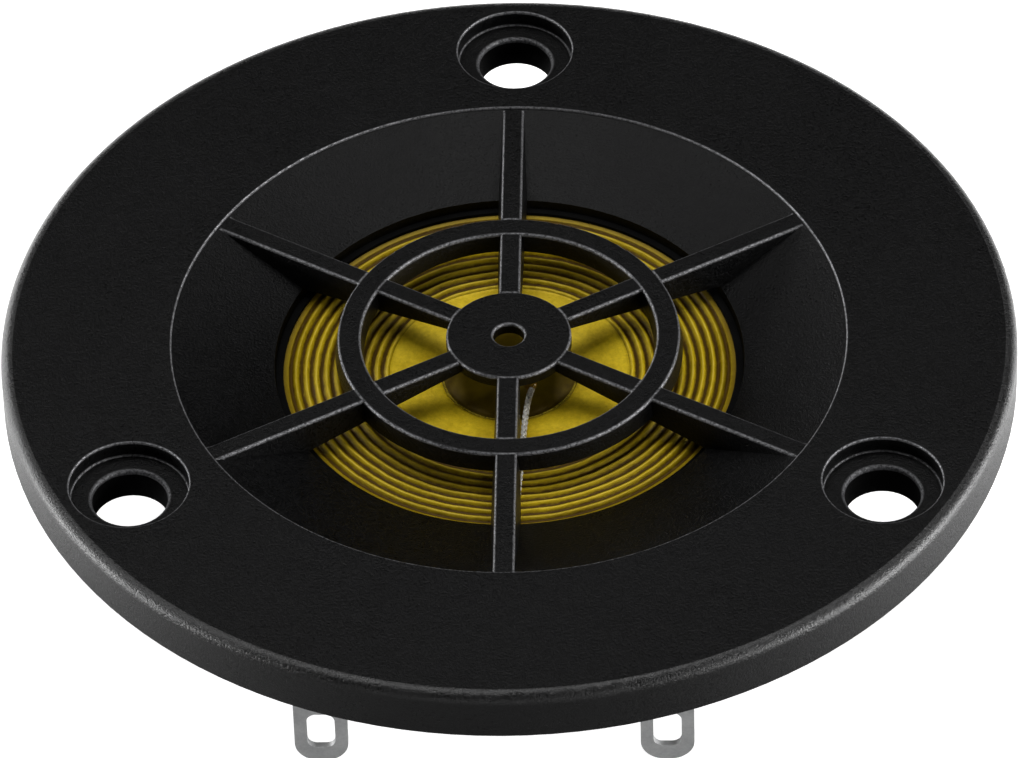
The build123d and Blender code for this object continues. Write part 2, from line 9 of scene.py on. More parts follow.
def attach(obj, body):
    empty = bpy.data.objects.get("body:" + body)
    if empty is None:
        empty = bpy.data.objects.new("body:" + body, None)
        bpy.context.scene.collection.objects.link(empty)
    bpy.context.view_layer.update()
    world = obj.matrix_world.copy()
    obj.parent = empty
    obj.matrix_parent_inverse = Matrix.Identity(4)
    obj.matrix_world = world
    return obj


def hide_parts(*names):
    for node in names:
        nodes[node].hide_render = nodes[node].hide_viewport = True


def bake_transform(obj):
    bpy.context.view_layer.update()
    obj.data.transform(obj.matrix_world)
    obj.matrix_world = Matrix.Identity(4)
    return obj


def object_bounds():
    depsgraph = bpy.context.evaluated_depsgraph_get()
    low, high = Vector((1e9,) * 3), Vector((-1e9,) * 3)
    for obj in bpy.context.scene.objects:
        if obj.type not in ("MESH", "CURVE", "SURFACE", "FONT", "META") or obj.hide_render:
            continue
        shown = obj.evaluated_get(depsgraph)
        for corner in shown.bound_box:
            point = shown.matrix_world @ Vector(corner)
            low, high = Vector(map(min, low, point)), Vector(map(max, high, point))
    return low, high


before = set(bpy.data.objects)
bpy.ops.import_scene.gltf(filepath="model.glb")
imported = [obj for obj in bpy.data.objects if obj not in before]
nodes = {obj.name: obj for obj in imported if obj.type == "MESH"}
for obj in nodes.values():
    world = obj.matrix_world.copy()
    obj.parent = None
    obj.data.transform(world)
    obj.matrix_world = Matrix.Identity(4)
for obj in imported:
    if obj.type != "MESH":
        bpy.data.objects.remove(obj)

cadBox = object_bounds()
mm = 0.001  # every size below is in millimetres and is brought to metres with this
print("frame loaded:", len(nodes), "nodes")


class Wire:
    # one output of a shader node; sums on it add Math nodes to its material
    def __init__(self, finish, socket):
        self.finish = finish
        self.socket = socket

    def __add__(self, other):
        return self.finish.maths("ADD", self, other)

    def __mul__(self, other):
        return self.finish.maths("MULTIPLY", self, other)

    def __sub__(self, other):
        return self.finish.maths("SUBTRACT", self, other)

    def __rsub__(self, other):
        return self.finish.maths("SUBTRACT", other, self)

    def __truediv__(self, other):
        return self.finish.maths("DIVIDE", self, other)

    def __pow__(self, other):
        return self.finish.maths("POWER", self, other)

    __radd__ = __add__
    __rmul__ = __mul__


class Finish:
    # a material while it is wired
    def __init__(self, name):
        self.material = bpy.data.materials.new(name)
        self.material.use_nodes = True
        self.tree = self.material.node_tree
        self.tree.nodes.clear()

    def node(self, kind, settings=None, sockets=None, output=0):
        # any shader node: settings come first, then the values or links of its sockets
        made = self.tree.nodes.new(kind)
        for name, value in (settings or {}).items():
            setattr(made, name, value)
        for name, value in (sockets or {}).items():
            if isinstance(value, Wire):
                self.tree.links.new(value.socket, made.inputs[name])
            else:
                made.inputs[name].default_value = value
        return Wire(self, made.outputs[output])

    def place(self):
        return self.node("ShaderNodeTexCoord", output="Object")

    def noise(self, grain, detail=3.0, rough=0.55, stretch=(1, 1, 1)):
        # cloudy noise whose features are about grain millimetres across
        scaled = self.node("ShaderNodeMapping", None, {"Vector": self.place(), "Scale": stretch})
        return self.node("ShaderNodeTexNoise", None,
                         {"Vector": scaled, "Scale": 1 / (grain * mm), "Detail": detail, "Roughness": rough})

    def ramp(self, value, low, high, fromZero=0.0, toOne=1.0):
        # straight scale from low..high to fromZero..toOne, held at both ends
        return self.node("ShaderNodeMapRange", {"clamp": True},
                         {"Value": value, 1: low, 2: high, 3: fromZero, 4: toOne})

    def mix(self, amount, first, second):
        # colour from first to second as amount goes from 0 to 1
        first, second = ((*tone, 1) if isinstance(tone, tuple) else tone for tone in (first, second))
        return self.node("ShaderNodeMix", {"data_type": "RGBA"}, {0: amount, 6: first, 7: second}, output=2)

    def places(self):
        # x, y and z in millimetres
        scaled = self.node("ShaderNodeVectorMath", {"operation": "SCALE"}, {0: self.place(), "Scale": 1 / mm})
        made = self.node("ShaderNodeSeparateXYZ", None, {0: scaled})
        return [Wire(self, out) for out in made.socket.node.outputs]

    def above(self, value, limit):
        return self.maths("GREATER_THAN", value, limit)

    def band(self, value, middle, half):
        # 1 at the middle, falling evenly to 0 at half away
        return self.ramp(self.maths("ABSOLUTE", value - middle), 0, half, 1.0, 0.0)

    def maths(self, operation, *values):
        return self.node("ShaderNodeMath", {"operation": operation}, dict(enumerate(values)))

    def radius(self):
        # distance from the Z axis, in millimetres
        flat = self.node("ShaderNodeVectorMath", {"operation": "MULTIPLY"},
                         {0: self.place(), 1: (1 / mm, 1 / mm, 0)})
        return self.node("ShaderNodeVectorMath", {"operation": "LENGTH"}, {0: flat}, output="Value")

    def bump(self, height, depth, strength=1.0, under=None):
        # height 0..1 raised over depth millimetres
        sockets = {"Height": height, "Distance": depth * mm, "Strength": strength}
        if under:
            sockets["Normal"] = under
        return self.node("ShaderNodeBump", None, sockets)

    def shader(self, **sockets):
        # a Principled shader; an underscore in a socket's name stands for a space
        named = {name.replace("_", " "): value for name, value in sockets.items()}
        return self.node("ShaderNodeBsdfPrincipled", None, named)

    def close(self, shader):
        # the finished material
        out = self.tree.nodes.new("ShaderNodeOutputMaterial")
        self.tree.links.new(shader.socket, out.inputs["Surface"])
        return self.material

    def surface(self, **sockets):
        return self.close(self.shader(**sockets))


def colour(red, green, blue):
    # screen values 0..255 to linear colour: up to 10 divided by 12.92 * 255, above that the power curve
    return tuple(c / 3294.6 if c <= 10 else ((c / 255 + 0.055) / 1.055) ** 2.4 for c in (red, green, blue))


cameraPlace = {"azimuth": 2.10, "elevation": 43.353, "roll": -1.807, "distance": 577.1, "lens": 287.43,
               "target": (0, 0, 3.7), "right": 1.9, "down": 46.6, "focal": 8151.8,
               "sensor": 36, "near": 0.01, "far": 20}  # degrees and mm; near and far in metres


def makeCamera(p):
    # stands on a sphere round the target, aimed a little right of it and below it, then rolled
    azimuth, elevation, roll = (math.radians(p[k]) for k in ("azimuth", "elevation", "roll"))
    back = Vector((math.sin(azimuth) * math.cos(elevation), -math.cos(azimuth) * math.cos(elevation),
                   math.sin(elevation)))
    level = Vector((math.cos(azimuth), math.sin(azimuth), 0))
    steep = back.cross(level)
    right = math.cos(roll) * level + math.sin(roll) * steep
    up = math.cos(roll) * steep - math.sin(roll) * level
    target = Vector(p["target"])
    eye = target + back * p["distance"]
    aim = target + (right * p["right"] - up * p["down"]) * (p["distance"] / p["focal"])
    back = (eye - aim).normalized()
    right = up.cross(back).normalized()
    up = back.cross(right)
    data = bpy.data.cameras.new("camera")
    data.sensor_width = p["sensor"]
    data.lens = p["lens"]
    data.clip_start = p["near"]
    data.clip_end = p["far"]
    camera = bpy.data.objects.new("camera", data)
    bpy.context.scene.collection.objects.link(camera)
    turn = Matrix((right, up, back)).transposed().to_4x4()
    camera.matrix_world = Matrix.Translation(eye * mm) @ turn
    bpy.context.scene.camera = camera


makeCamera(cameraPlace)
bpy.context.scene.view_settings.view_transform = "Standard"

studio = {
    # name: place in mm, width and height in mm, brightness; each looks at the part
    "overhead": ((0, 200, 900), (900, 300), 4.3),
    "overheadBack": ((0, 500, 900), (900, 300), 1.0),
    "overheadFront": ((0, -400, 900), (900, 300), 0.3),
    "lowRight": ((600, 0, 40), (340, 110), 28),
    "lowLeft": ((-600, 0, 40), (340, 110), 28),
    "right": ((600, 0, 200), (340, 200), 6.4),
    "frontRight": ((600, -350, 200), (340, 200), 8.3),
    "backLeftLow": ((-600, 700, 40), (340, 110), 7),
    "backLeft": ((-600, 700, 200), (340, 200), 2.4),
    "left": ((-600, 350, 200), (340, 200), 5.5),
    "leftHigh": ((-600, 0, 480), (340, 300), 1.3),
    "front": ((0, -700, 60), (800, 150), 1.5),
}


def makeLight(name, place, size, bright):
    data = bpy.data.lights.new(name, "AREA")
    data.shape = "RECTANGLE"
    data.size, data.size_y = size[0] * mm, size[1] * mm
    data.energy = bright * math.pi * data.size * data.size_y
    lamp = bpy.data.objects.new(name, data)
    bpy.context.scene.collection.objects.link(lamp)
    lamp.location = Vector(place) * mm
    lamp.visible_camera = False
    # a lamp looks at the part with its width level; one nearly straight above has its width along X
    back = Vector(place).normalized()
    level = Vector((0, 0, 1)).cross(back)
    level = level.normalized() if level.length > 0.6 else Vector((1, 0, 0))
    level = (level - level.dot(back) * back).normalized()
    lamp.rotation_mode = "QUATERNION"
    lamp.rotation_quaternion = Matrix((level, back.cross(level), back)).transposed().to_quaternion()


for name, (place, size, bright) in studio.items():
    makeLight(name, place, size, bright)

roomGlow = 0.005
world = bpy.data.worlds.new("room")
world.use_nodes = True
world.node_tree.nodes["Background"].inputs["Color"].default_value = (1, 1, 1, 1)
world.node_tree.nodes["Background"].inputs["Strength"].default_value = roomGlow
bpy.context.scene.world = world

floorSize = {"half": 4000, "gap": 0.02, "glow": 0.88, "cloud": 60, "darkPaper": 0.86, "lightPaper": 0.9,
             "bounceFrom": 46, "bounceTo": 1500, "bounceUp": 0.5, "bounceCorners": 48, "bounceTone": 0.15,
             # the ring's glow rises from front to back between these two values of y
             "frontY": -52, "backY": 22, "bounceFront": 0.03, "bounceBack": 2.1}


def stagePiece(name, corners, faces, material):
    mesh = bpy.data.meshes.new(name)
    mesh.from_pydata((np.array(corners) * mm).tolist(), [], faces)
    mesh.materials.append(material)
    piece = bpy.data.objects.new(name, mesh)
    bpy.context.scene.collection.objects.link(piece)
    return piece


def makeFloor(p):
    # a pale floor that glows so that it stays white, and just over it an unseen glowing ring that lights the
    # part's sides; the ring starts outside the part, so that no light comes up through its holes
    low = cadBox[0].z / mm - p["gap"]
    side = p["half"]
    paper = Finish("palePaper")
    tone = paper.ramp(paper.noise(p["cloud"], 2), 0.3, 0.7, p["darkPaper"], p["lightPaper"])
    white = paper.node("ShaderNodeCombineColor", None, {0: tone, 1: tone, 2: tone})
    corners = [(-side, -side, low), (side, -side, low), (side, side, low), (-side, side, low)]
    floor = stagePiece("floor", corners, [(0, 1, 2, 3)],
                       paper.surface(Base_Color=white, Roughness=0.9, Emission_Color=white,
                                     Emission_Strength=p["glow"]))
    floor.visible_glossy = False
    floor.visible_diffuse = False
    glow = Finish("floorGlow")
    level = glow.ramp(glow.places()[1], p["frontY"], p["backY"], p["bounceFront"], p["bounceBack"])
    level = level * (1 - glow.node("ShaderNodeNewGeometry", output="Backfacing"))
    light = glow.node("ShaderNodeCombineColor", None, {0: level, 1: level, 2: level})
    count = p["bounceCorners"]
    around = np.linspace(0, 2 * np.pi, count, endpoint=False)
    circle = np.stack([np.cos(around), np.sin(around), np.zeros(count)], 1)
    rings = np.concatenate([circle * p["bounceFrom"], circle * p["bounceTo"]]) + (0, 0, low + p["bounceUp"])
    faces = [(k, k + count, (k + 1) % count + count, (k + 1) % count) for k in range(count)]  # facing upwards
    bounce = stagePiece("floorGlow", rings, faces,
                        glow.surface(Base_Color=(*[p["bounceTone"]] * 3, 1), Roughness=0.9,
                                     Emission_Color=light, Emission_Strength=1.0))
    bounce.visible_camera = False
    bounce.visible_shadow = False


makeFloor(floorSize)
print("camera, lights and floor made")

frontEdges = {"rimStart": 35.15, "rimFloor": 0.03, "rimLow": 2.9, "rimRadius": 0.8,
              "grilleLow": 3.28, "grilleRadius": 0.22,
              # inner and outer radius of each rounded grille edge, and which way it faces
              "grille": ((11.6, 12.17, 1), (10.46, 11.0, -1), (4.2, 4.47, 1), (1.05, 1.34, -1))}


def edgeNormal(f, p):
    # the rounded edges' true normals: the upward share is the height along the arc, the rest points outwards
    x, y, z = f.places()
    r = f.radius()
    rim = f.above(r, p["rimStart"]) * f.above(z, p["rimFloor"])
    up = f.ramp(z, p["rimLow"], p["rimLow"] + p["rimRadius"])
    outward = (1 - up * up) ** 0.5
    fine = f.above(z, p["grilleLow"] + 0.005)
    fineUp = f.ramp(z, p["grilleLow"], p["grilleLow"] + p["grilleRadius"])
    fineOutward = (1 - fineUp * fineUp) ** 0.5
    zones = [(f.above(r, low) * (1 - f.above(r, high)), way) for low, high, way in p["grille"]]
    grille = sum(zone for zone, way in zones) * fine
    across = outward * rim + fineOutward * sum(zone * way for zone, way in zones) * fine
    turned = f.node("ShaderNodeCombineXYZ", None,
                    {0: x / r * across, 1: y / r * across, 2: up * rim + fineUp * grille})
    own = f.node("ShaderNodeNewGeometry", output="Normal")
    return f.node("ShaderNodeMix", {"data_type": "VECTOR"}, {0: rim + grille, 4: own, 5: turned}, output=1)


# where the highlights of the small rounded edges are painted, and the holes' walls where shade is painted
paintedLightEdges = {"grilleLow": 3.26, "grilleTop": 3.52, "mouth": 23.94, "mouthHalf": 0.09,
              "rings": (12.09, 10.55, 4.39, 1.16), "ringHalf": 0.12, "spoke": 0.68, "spokeHalf": 0.11,
              "spokeFrom": 4.5, "spokeTo": 23.8, "ringFrom": 10.5, "ringTo": 12.1,
              "holes": ((0, 30.25), (-26.197, -15.125), (26.197, -15.125)), "boreWall": 2.67, "boreTop": 2.1,
              # round each hole: radius, half width, and the heights between which the edge lies
              "holeEdges": ((4.23, 0.09, 3.5, 3.8), (4.14, 0.07, 2.35, 2.56), (2.72, 0.19, 2.05, 2.45))}


def paintedLightMasks(f, p):
    # painted highlights: thin lines that stand in for the highlights of the small rounded edges: 1 along each
    # outer edge of the grille, the horn's mouth and the screw holes, fading to 0 beside it; also a mask of the
    # holes' walls for painted shade
    x, y, z = f.places()
    r = f.radius()
    high = f.above(z, p["grilleLow"]) * (1 - f.above(z, p["grilleTop"]))
    # distance from the middle line of the nearest of three bars, each 60 degrees from the next
    leaning, rising = (f.maths("ABSOLUTE", f.maths(way, x * 0.5, y * 0.866)) for way in ("SUBTRACT", "ADD"))
    offset = f.maths("MINIMUM", f.maths("MINIMUM", leaning, rising), f.maths("ABSOLUTE", x))
    free = f.above(r, p["spokeFrom"]) * (1 - f.above(r, p["spokeTo"]))
    free = free * (1 - f.above(r, p["ringFrom"]) * (1 - f.above(r, p["ringTo"])))
    light = f.band(offset, p["spoke"], p["spokeHalf"]) * free
    light = light + sum(f.band(r, middle, p["ringHalf"]) for middle in p["rings"])
    light = light * high + f.band(r, p["mouth"], p["mouthHalf"]) * f.above(z, p["grilleTop"])
    flat = f.node("ShaderNodeCombineXYZ", None, {0: x, 1: y})
    away = [f.node("ShaderNodeVectorMath", {"operation": "DISTANCE"},
                   {0: flat, 1: (*hole, 0)}, output="Value") for hole in p["holes"]]
    away = f.maths("MINIMUM", f.maths("MINIMUM", away[0], away[1]), away[2])
    for middle, half, low, top in p["holeEdges"]:
        light = light + f.band(away, middle, half) * f.above(z, low) * (1 - f.above(z, top))
    # painted shade: a mask of the holes' walls below boreTop
    boreShade = (1 - f.above(away, p["boreWall"])) * (1 - f.above(z, p["boreTop"]))
    return f.maths("MINIMUM", light, 1.0), boreShade


# edge is the grey of the painted highlight lines; their metallic share makes the painted highlight reflect
blackTones = {"low": (0.0004, 0.0004, 0.0005), "high": (0.0046, 0.0046, 0.0048), "fine": 0.18, "coarse": 0.5,
              "fineDepth": 0.06, "coarseDepth": 0.016, "cloud": 9, "edge": (0.26, 0.26, 0.27),
              "highlightMetal": 0.85, "rim": 35.15, "level": 0.15, "rimLevel": 0.62, "rimGloss": 0.03}


def mouldedBlack(p):
    # grained black plastic: two grain sizes, a faint cloudiness in gloss, and painted highlight lines along the
    # edges broken up in specks; the holes' walls take painted shade
    f = Finish("mouldedBlack")
    fine = f.noise(p["fine"], 3, 0.7)
    coarse = f.noise(p["coarse"], 2, 0.5)
    edge, boreShade = paintedLightMasks(f, paintedLightEdges)
    # painted highlights: grey lines along the edges, broken up in specks
    edge = edge * f.ramp(fine, 0.36, 0.6, 0.2, 1.0)
    tone = f.mix(f.ramp(fine + coarse * 0.4 - 0.2, 0.38, 0.64), p["low"], p["high"])
    # painted shade: the holes' walls take the darkest tone; painted highlight: the edge lines take the grey edge
    # tone
    tone = f.mix(edge, f.mix(boreShade, tone, p["low"]), p["edge"])
    grain = f.bump(coarse, p["coarseDepth"], 0.6, edgeNormal(f, frontEdges))
    grain = f.bump(fine, p["fineDepth"], 1.0, grain)
    gloss = f.ramp(f.noise(p["cloud"], 3), 0.35, 0.65, 0.31, 0.39) + f.ramp(fine, 0.3, 0.7, -0.08, 0.08)
    # the holes' walls are also fully rough, so that the painted shade there takes no reflection
    matt = f.shader(Base_Color=tone, Roughness=f.maths("MAXIMUM", gloss, boreShade),
                    Metallic=edge * p["highlightMetal"], Specular_IOR_Level=p["level"], Normal=grain)
    # the rim and side wall reflect more than the face
    smooth = f.shader(Base_Color=tone, Roughness=gloss - p["rimGloss"], Specular_IOR_Level=p["rimLevel"],
                      Normal=grain)
    return f.close(f.node("ShaderNodeMixShader", None,
                          {0: f.above(f.radius(), p["rim"]), 1: matt, 2: smooth}))


# the groove and crest colours are the pleats' painted shade and painted highlight; glint is a painted highlight
# on the crests' tops
filmTones = {"groove": colour(84, 60, 2), "crestHighlight": colour(212, 182, 18), "dull": colour(204, 172, 14),
             # shade is how dark the painted shadow at the film's outer edge gets
             "bright": colour(246, 214, 44), "first": 15.73, "pitch": 0.72, "count": 10, "shade": 0.88,
             "glint": colour(240, 214, 90), "cloud": 2.2, "crinkle": 0.34, "fine": 0.1, "streak": 6.5,
             "turn": 2.2, "fineDepth": 0.006, "crinkleDepth": 0.045, "metal": 0.12, "level": 0.2}


def yellowFilm(p):
    # yellow film: painted shade makes the grooves read brown, painted highlight makes the crests bright, with a
    # painted glint along their tops; the smooth cone between them is crinkled and cloudy
    f = Finish("yellowFilm")
    cloud = f.noise(p["cloud"], 4, 0.6)
    crinkle = f.noise(p["crinkle"], 5, 0.7)
    fine = f.noise(p["fine"], 3, 0.6)
    r = f.radius()
    waves = (p["first"] - r) / p["pitch"]
    pleated = f.above(waves, 0) * (1 - f.above(waves, p["count"]))
    height = f.maths("SINE", waves * (2 * math.pi)) * -0.5 + 0.5
    # streaks that run round the axis: the noise is stretched along the circle
    x, y = f.places()[:2]
    ringPlace = f.node("ShaderNodeCombineXYZ", None, {0: r, 1: x / r * p["turn"], 2: y / r * p["turn"]})
    streak = f.node("ShaderNodeTexNoise", None,
                    {"Vector": ringPlace, "Scale": p["streak"], "Detail": 3.0, "Roughness": 0.6})
    mottle = cloud * 0.5 + crinkle * 0.45 + streak * 0.15 - 0.05
    smooth = f.mix(f.ramp(mottle, 0.36, 0.64), p["dull"], p["bright"])
    uneven = height + (crinkle - 0.5) * 0.5 + (streak - 0.5) * 0.8
    # painted shade in the grooves and painted highlight on the crests, following the pleats' height
    pleats = f.mix(f.ramp(uneven, 0.1, 0.9), p["groove"], p["crestHighlight"])
    # painted glint along the crests' tops
    pleats = f.mix(f.ramp(height + (streak - 0.5) * 0.4, 0.9, 1.05, 0.0, 0.7), pleats, p["glint"])
    # painted shadow of the throat wall: the film darkens towards the groove colour between radius 15.0 and 16.2,
    # by up to shade
    tone = f.mix(f.ramp(r, 15.0, 16.2, 0.0, p["shade"]), f.mix(pleated, smooth, pleats), p["groove"])
    rough = f.ramp(fine, 0.3, 0.7, 0.38, 0.56)
    bent = f.bump(fine, p["fineDepth"], 0.8, f.bump(crinkle * 0.6 + streak * 0.4, p["crinkleDepth"], 0.8))
    return f.surface(Base_Color=tone, Metallic=p["metal"], Roughness=rough, Specular_IOR_Level=p["level"],
                     Normal=bent)


def plain(name, first, second, grain, rough, metal=0.0, depth=0.01, coat=0.0, level=0.5, stretch=(1, 1, 1)):
    # two tones of one colour with fine bump, for the parts that need no more; stretch draws the grain out
    f = Finish(name)
    cloud = f.noise(grain * 8, 4, stretch=stretch)
    fine = f.noise(grain, 4, 0.65, stretch=stretch)
    tone = f.mix(f.ramp(cloud + fine * 0.5, 0.55, 0.95), first, second)
    uneven = f.ramp(fine, 0.3, 0.7, rough - 0.06, rough + 0.06)
    return f.surface(Base_Color=tone, Metallic=metal, Roughness=uneven, Coat_Weight=coat,
                     Specular_IOR_Level=level, Normal=f.bump(fine, depth, 0.8))


# line is the colour of the painted highlight along the dome's outer fold
domeTones = {"top": colour(130, 108, 12), "wall": colour(84, 66, 8), "cloudy": colour(150, 126, 20),
             "line": colour(196, 172, 40), "wallFrom": 3.0, "wallTo": 4.5, "highlightFrom": 4.72}


def domeFilm(p):
    # olive film, browner down the wall from radius wallFrom to wallTo, with a painted highlight as a bright line
    # at its outer edge
    f = Finish("domeFilm")
    cloud = f.noise(0.8, 4)
    fine = f.noise(0.12, 3, 0.6)
    r = f.radius()
    wall = f.mix(f.ramp(r, p["wallFrom"], p["wallTo"]), p["top"], p["wall"])
    tone = f.mix(f.ramp(cloud, 0.4, 0.8, 0.0, 0.5), wall, p["cloudy"])
    # painted highlight along the outer fold, broken up by the fine noise
    line = f.above(r, p["highlightFrom"]) * f.ramp(fine, 0.35, 0.6)
    return f.surface(Base_Color=f.mix(line, tone, p["line"]), Metallic=0.25,
                     Roughness=f.ramp(fine, 0.3, 0.7, 0.34, 0.5), Specular_IOR_Level=0.2,
                     Normal=f.bump(fine, 0.005, 0.8))


zincTones = {"dull": colour(138, 141, 140), "bright": colour(172, 172, 165), "marks": 26, "waver": 3}


def turnedZinc(p):
    # zinc plate with duller patches and fine turning marks round the axis: the sine of marks * radius + noise
    f = Finish("turnedZinc")
    r = f.radius()
    cloud = f.noise(5, 4)
    fine = f.noise(0.2, 3)
    rings = f.maths("SINE", r * p["marks"] + f.noise(2.5, 2) * p["waver"]) * 0.5 + 0.5
    tone = f.mix(f.ramp(cloud, 0.4, 0.65), p["dull"], p["bright"])
    rough = f.ramp(cloud, 0.35, 0.65, 0.3, 0.46) + f.ramp(fine, 0.3, 0.7, -0.05, 0.05)
    return f.surface(Base_Color=tone, Metallic=0.85, Roughness=rough,
                     Normal=f.bump(fine, 0.008, 0.6, f.bump(rings, 0.006, 0.5)))


ferriteTones = {"dark": colour(38, 39, 42), "light": colour(74, 75, 78), "pitShade": colour(20, 20, 22)}


def groundFerrite(p):
    # sintered magnet: charcoal with pale specks and small pits that take painted shade, ground along its flat
    # faces
    f = Finish("groundFerrite")
    fine = f.noise(0.16, 4, 0.7)
    pits = f.ramp(f.noise(0.9, 3, 0.6), 0.62, 0.7)
    ground = f.noise(0.25, 2, stretch=(0.06, 1, 1))
    tone = f.mix(f.ramp(fine, 0.4, 0.72), p["dark"], p["light"])
    # painted shade in the pits
    tone = f.mix(pits * 0.6, tone, p["pitShade"])
    return f.surface(Base_Color=tone, Metallic=0.15, Roughness=f.ramp(fine, 0.3, 0.7, 0.5, 0.66),
                     Normal=f.bump(1 - pits, 0.06, 0.7, f.bump(ground + fine * 0.5, 0.015, 0.7)))


def woundWire(name, first, second, pitch, metal):
    # turns stacked along the axis: their height is the square root of a half sine wave; the tone follows it, with
    # painted shade between the turns
    f = Finish(name)
    turn = f.maths("ABSOLUTE", f.maths("SINE", f.places()[2] * (math.pi / pitch))) ** 0.5
    # painted shade: darker between the turns, lighter on their tops
    tone = f.mix(f.ramp(turn + f.noise(0.4, 3) * 0.4, 0.5, 1.2), first, second)
    return f.surface(Base_Color=tone, Metallic=metal, Roughness=f.ramp(f.noise(0.15, 3), 0.3, 0.7, 0.26, 0.42),
                     Coat_Weight=0.4, Normal=f.bump(turn, pitch * 0.4, 0.9))


finishes = {
    "black_abs": mouldedBlack(blackTones),
    "gasket_foam": plain("gasketFoam", (0.002, 0.002, 0.002), (0.005, 0.005, 0.005), 0.2, 0.95,
                         depth=0.03, level=0.1),
    "yellow_film": yellowFilm(filmTones),
    "ring_plastic": plain("ringPlastic", colour(26, 26, 27), colour(36, 36, 38), 0.2, 0.5),
    "dome_film": domeFilm(domeTones),
    "coil_former": woundWire("coilFormer", colour(140, 106, 50), colour(178, 142, 80), 1.6, 0.1),
    "copper_wire": woundWire("copperWire", colour(120, 58, 26), colour(206, 124, 66), 0.12, 0.9),
    "amber_glue": plain("amberGlue", colour(108, 76, 14), colour(160, 122, 34), 0.4, 0.24, 0, 0.02, 0.5, 0.4),
    "zinc_plate": turnedZinc(zincTones),
    "magnet_glue": plain("magnetGlue", colour(52, 52, 54), colour(84, 84, 86), 0.4, 0.4, depth=0.04),
    "ferrite": groundFerrite(ferriteTones),
    "felt": plain("felt", colour(16, 16, 17), colour(58, 58, 58), 0.12, 0.95, 0, 0.1, 0, 0.1, (1, 0.3, 1)),
    "screw_steel": plain("screwSteel", colour(150, 150, 152), colour(196, 196, 194), 0.2, 0.3, 0.9, 0.008),
    "phenolic": plain("phenolic", colour(96, 58, 28), colour(146, 92, 50), 0.22, 0.45, 0, 0.012, 0.2, 0.5,
                      (0.15, 1, 1)),
    "tinned_tag": plain("tinnedTag", colour(196, 197, 198), colour(222, 223, 223), 0.25, 0.46, 0.1, 0.012),
    "rivet_brass": plain("rivetBrass", colour(166, 138, 74), colour(208, 182, 112), 0.2, 0.3, 0.9, 0.008),
    "solder": plain("solder", colour(176, 178, 182), colour(218, 218, 218), 0.5, 0.22, 0.9, 0.03),
    "tinsel": plain("tinsel", colour(240, 236, 226), colour(255, 253, 246), 0.12, 0.28, 0.15),
}
for node in nodes.values():
    slotName = node.data.materials[0].name
    for i in range(len(node.data.materials)):
        node.data.materials[i] = finishes[slotName]
print("finishes made")


def gridPiece(name, points, closeAlong=False):
    # points[i, j] is a grid of places in mm; each cell is one face, every row is a closed loop, and
    # closeAlong joins the last row to the first
    rows, columns = points.shape[:2]
    i = np.arange(rows if closeAlong else rows - 1)
    a, b = (m.ravel() for m in np.meshgrid(i, np.arange(columns), indexing="ij"))
    c, d = (a + 1) % rows, (b + 1) % columns
    faces = np.stack([a * columns + b, a * columns + d, c * columns + d, c * columns + b], 1)
    mesh = bpy.data.meshes.new(name)
    mesh.vertices.add(rows * columns)
    mesh.vertices.foreach_set("co", (points.reshape(-1) * mm).astype(np.float32))
    mesh.loops.add(faces.size)
    mesh.loops.foreach_set("vertex_index", faces.ravel().astype(np.int32))
    mesh.polygons.add(len(faces))
    mesh.polygons.foreach_set("loop_start", np.arange(0, faces.size, 4, dtype=np.int32))
    mesh.polygons.foreach_set("use_smooth", np.ones(len(faces), bool))
    mesh.update(calc_edges=True)
    piece = bpy.data.objects.new(name, mesh)
    bpy.context.scene.collection.objects.link(piece)
    return piece


filmShape = {"outer": 19.7, "first": 15.73, "count": 10, "pitch": 0.72, "height": 0.11, "top": 0.2,
             "drop": 0.2, "inner": 4.90, "coneDrop": 0.3, "bulge": 0.05, "thick": 0.08, "around": 240,
             # uneven surface: how many waves, the longest and shortest, their size, and the random start
             "ripple": (14, 5.0, 0.9, 0.014, 4)}


def filmHeight(r, p):
    # flat rim, then a sine wave that sinks evenly, then a bulged cone down to the dome
    waves = np.clip((p["first"] - r) / p["pitch"], 0, p["count"])
    z = p["top"] - p["drop"] * waves / p["count"] - p["height"] * np.sin(2 * np.pi * waves)
    coneStart = p["first"] - p["count"] * p["pitch"]
    u = np.clip((coneStart - r) / (coneStart - p["inner"]), 0, 1)
    return z - p["coneDrop"] * u + 4 * p["bulge"] * u * (1 - u)


def ripple(x, y, count, longest, shortest, size, seed):
    # sum of straight sine waves in random directions
    rng = np.random.default_rng(seed)
    turn = rng.uniform(0, np.pi, count)
    length = np.geomspace(longest, shortest, count)
    start = rng.uniform(0, 2 * np.pi, count)
    total = np.zeros_like(x)
    for t, w, s in zip(turn, length, start):
        total += w / longest * np.sin((x * np.cos(t) + y * np.sin(t)) * 2 * np.pi / w + s)
    return total * size


def makeFilm(p):
    top = np.concatenate([np.linspace(p["outer"], p["first"], 6)[:-1],
                          np.linspace(p["first"], p["first"] - p["count"] * p["pitch"], 161)[:-1],
                          np.linspace(p["first"] - p["count"] * p["pitch"], p["inner"], 18)])
    low = top[::-1]
    r = np.concatenate([top, low])
    z = filmHeight(r, p) - np.concatenate([np.zeros(len(top)), np.full(len(low), p["thick"])])
    angle = np.linspace(0, 2 * np.pi, p["around"], endpoint=False)
    x, y = r[:, None] * np.cos(angle), r[:, None] * np.sin(angle)
    fade = np.clip((p["first"] - r) / 1.0, 0, 1) * np.clip((r - p["inner"]) / 0.6, 0, 1)
    bend = ripple(x, y, *p["ripple"]) * fade[:, None]
    points = np.stack([x, y, z[:, None] + bend], -1)
    film = gridPiece("filmSkin", points, closeAlong=True)
    film.data.materials.append(finishes["yellow_film"])
    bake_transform(film)
    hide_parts("diaphragm_film")


makeFilm(filmShape)
print("film made")


